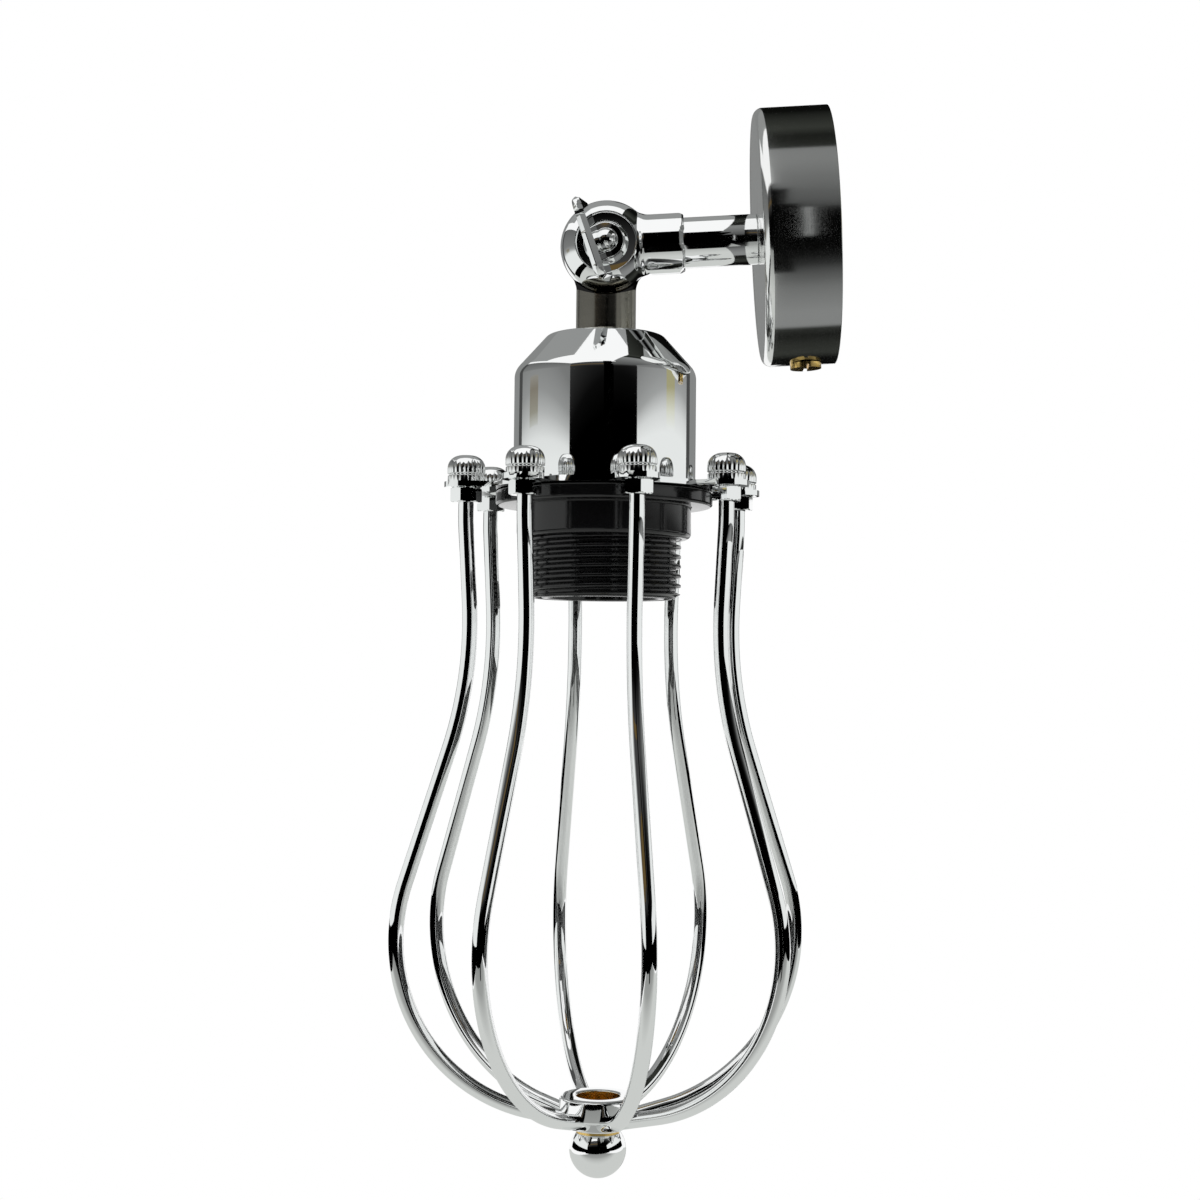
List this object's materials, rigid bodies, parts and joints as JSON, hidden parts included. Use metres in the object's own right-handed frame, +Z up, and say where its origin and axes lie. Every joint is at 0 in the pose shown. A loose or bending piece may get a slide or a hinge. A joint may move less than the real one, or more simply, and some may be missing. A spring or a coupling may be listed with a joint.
{
  "type": "industrial wall sconce",
  "caption": "Wall light with a round wall plate, a short arm, a knuckle joint with a wing screw, and a lampholder inside a pear-shaped wire cage.",
  "frame": {"origin": "centre of the back of the wall plate, where it meets the wall", "axes": "+Z up, +Y into the wall, so the lamp stands out along -Y and its wing screw faces +X"},
  "size_m": [0.105, 0.1202, 0.2718],
  "materials": {
    "chrome": "bright chrome plate",
    "plate_chrome": "satin chrome, brushed round the rim",
    "zinc": "zinc-plated steel",
    "brass": "bright brass",
    "black_plastic": "satin black moulded plastic",
    "ceramic": "glazed white ceramic"
  },
  "bodies": {
    "arm": {"wall_plate": "plate_chrome", "wall_bracket": "zinc", "plate_screw": "brass", "earth_screw": "brass", "earth_washer": "brass", "arm_nipple": "zinc", "nipple_washer": "zinc", "nipple_nut": "zinc", "arm_tube": "chrome", "arm_knuckle": "chrome", "wing_washer": "zinc"},
    "head": {"head_knuckle": "chrome", "neck_nipple": "zinc", "neck_nut": "zinc", "holder_cup": "chrome", "holder_dome": "black_plastic", "holder_core": "ceramic", "terminal_screws": "brass", "screw_shell": "brass", "centre_contact": "brass", "holder_skirt": "black_plastic", "cage_plate": "chrome", "cage_wire_1": "chrome", "cage_wire_2": "chrome", "cage_wire_3": "chrome", "cage_wire_4": "chrome", "cage_wire_5": "chrome", "cage_wire_6": "chrome", "cage_wire_7": "chrome", "cage_wire_8": "chrome", "hex_nuts": "chrome", "cap_nuts": "chrome", "cage_hub": "chrome", "ball_finial": "chrome"},
    "wing": {"wing_screw": "chrome"},
    "ring": {"retaining_ring": "black_plastic"}
  },
  "joints": [
    {"name": "head_tilt", "type": "hinge", "parent": "arm", "child": "head", "pos_m": [0, -0.058, 0], "axis": [-1, 0, 0], "range_deg": [-3, 176]},
    {"name": "wing_turn", "type": "hinge", "parent": "head", "child": "wing", "pos_m": [0, -0.058, 0], "axis": [1, 0, 0], "continuous": true},
    {"name": "ring_turn", "type": "hinge", "parent": "head", "child": "ring", "pos_m": [0, -0.06179, -0.0699], "axis": [0, 0.0541, 0.9985], "continuous": true}
  ]
}
